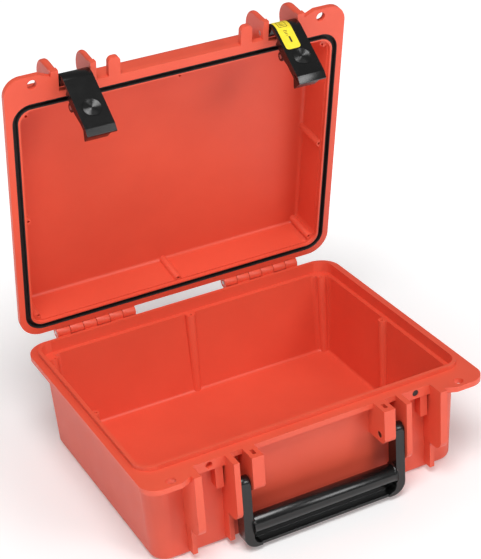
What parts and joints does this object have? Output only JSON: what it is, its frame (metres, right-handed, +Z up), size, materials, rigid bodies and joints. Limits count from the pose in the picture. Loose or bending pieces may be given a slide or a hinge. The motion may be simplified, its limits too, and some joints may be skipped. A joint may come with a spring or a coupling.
{
  "type": "first aid case",
  "caption": "Empty hard-shell first aid case in orange plastic, lid standing open on rear hinges, with black draw latches and a fold-up carrying handle.",
  "frame": {"origin": "On the flat underside, below the centre of the sealed opening.", "axes": "+X right along the hinge, +Y to the back where the hinge is, +Z up out of the case."},
  "size_m": [0.2616, 0.2534, 0.3023],
  "materials": {
    "shell_orange": "satin, finely textured outside",
    "black_plastic": "semi-gloss",
    "seal_rubber": "matt",
    "steel_pin": "brushed",
    "yellow_label": "printed film"
  },
  "bodies": {
    "case": {"base_shell": "shell_orange", "hinge_pin_left": "steel_pin", "hinge_pin_right": "steel_pin", "handle_pin_left": "black_plastic", "handle_pin_right": "black_plastic", "bay_plug": "seal_rubber"},
    "lid": {"lid_shell": "shell_orange", "lid_gasket": "seal_rubber"},
    "latch_carrier_left": {"latch_pivot_pin_left": "steel_pin"},
    "latch_left": {"latch_lever_left": "black_plastic", "latch_catch_pin_left": "steel_pin", "latch_catch_spring_left": "steel_pin"},
    "catch_left": {"latch_catch_left": "black_plastic"},
    "latch_carrier_right": {"latch_pivot_pin_right": "steel_pin"},
    "latch_right": {"latch_lever_right": "black_plastic", "latch_catch_pin_right": "steel_pin", "latch_catch_spring_right": "steel_pin", "latch_label": "yellow_label"},
    "catch_right": {"latch_catch_right": "black_plastic"},
    "handle": {"handle_frame": "black_plastic", "handle_grip": "black_plastic"}
  },
  "joints": [
    {"name": "lid_hinge", "type": "hinge", "parent": "case", "child": "lid", "pos_m": [0, 0.1071, 0.0785], "axis": [1, 0, 0], "range_deg": [-15, 78.34]},
    {"name": "latch_carry_left", "type": "hinge", "parent": "lid", "child": "latch_carrier_left", "pos_m": [-0.07985, 0.06775, 0.28899], "axis": [-1, 0, 0], "range_deg": [-10.3, 52.6]},
    {"name": "latch_swing_left", "type": "hinge", "parent": "latch_carrier_left", "child": "latch_left", "pos_m": [-0.07985, 0.06775, 0.28899], "axis": [-1, 0, 0], "range_deg": [-25, 100]},
    {"name": "catch_squeeze_left", "type": "hinge", "parent": "latch_left", "child": "catch_left", "pos_m": [-0.07985, 0.04775, 0.27603], "axis": [-1, 0, 0], "range_deg": [0, 8], "stiffness_Nm_per_rad": 0.03, "springref_deg": -14.32},
    {"name": "latch_carry_right", "type": "hinge", "parent": "lid", "child": "latch_carrier_right", "pos_m": [0.07985, 0.06775, 0.28899], "axis": [-1, 0, 0], "range_deg": [-10.3, 52.6]},
    {"name": "latch_swing_right", "type": "hinge", "parent": "latch_carrier_right", "child": "latch_right", "pos_m": [0.07985, 0.06775, 0.28899], "axis": [-1, 0, 0], "range_deg": [-25, 100]},
    {"name": "catch_squeeze_right", "type": "hinge", "parent": "latch_right", "child": "catch_right", "pos_m": [0.07985, 0.04775, 0.27603], "axis": [-1, 0, 0], "range_deg": [0, 8], "stiffness_Nm_per_rad": 0.03, "springref_deg": -14.32},
    {"name": "handle_swing", "type": "hinge", "parent": "case", "child": "handle", "pos_m": [0, -0.1115, 0.0552], "axis": [-1, 0, 0], "range_deg": [0, 115]}
  ],
  "couplings": [
    {"joint": "latch_carry_left", "follows": "lid_hinge", "ratio": 0.6676},
    {"joint": "latch_carry_right", "follows": "lid_hinge", "ratio": 0.6676}
  ]
}
